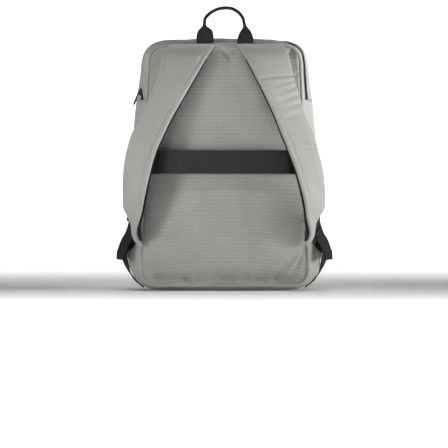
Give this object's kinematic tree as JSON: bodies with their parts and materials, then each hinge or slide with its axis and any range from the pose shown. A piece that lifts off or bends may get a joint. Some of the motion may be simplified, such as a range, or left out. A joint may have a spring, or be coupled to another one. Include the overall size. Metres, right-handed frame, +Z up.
{
  "type": "laptop backpack",
  "caption": "Grey laptop backpack with black webbing: padded shoulder straps, top handle, zip over the top and a band that slides over a trolley handle.",
  "frame": {"origin": "middle of the flat base that the bag stands on", "axes": "+Z up from the base to the carrying handle, -Y out of the back panel towards the shoulder straps, +X to the right of someone who looks at the straps"},
  "size_m": [0.353, 0.1916, 0.4609],
  "materials": {
    "grey_fabric": "ribbed polyester, two tone grey",
    "black_mesh": "spacer mesh",
    "black_webbing": "ribbed webbing",
    "zip_tape": "coil zip",
    "black_plastic": "matte",
    "dark_metal": "satin"
  },
  "bodies": {
    "root": {"back_panel": "grey_fabric", "front_panel": "grey_fabric", "lower_gusset": "grey_fabric", "zip_gusset_back": "grey_fabric", "zip_gusset_front": "grey_fabric", "back_piping": "grey_fabric", "zip_tape": "zip_tape", "zip_slider": "dark_metal", "zip_pull": "black_plastic", "shoulder_strap_right": "grey_fabric", "shoulder_strap_left": "grey_fabric", "strap_backing_right": "black_mesh", "strap_backing_left": "black_mesh", "strap_end_loop_right": "black_webbing", "strap_end_loop_left": "black_webbing", "lower_webbing_right": "black_webbing", "lower_webbing_left": "black_webbing", "ladder_lock_right": "black_plastic", "ladder_lock_left": "black_plastic", "trolley_band": "black_webbing", "top_handle": "black_webbing"}
  },
  "joints": []
}
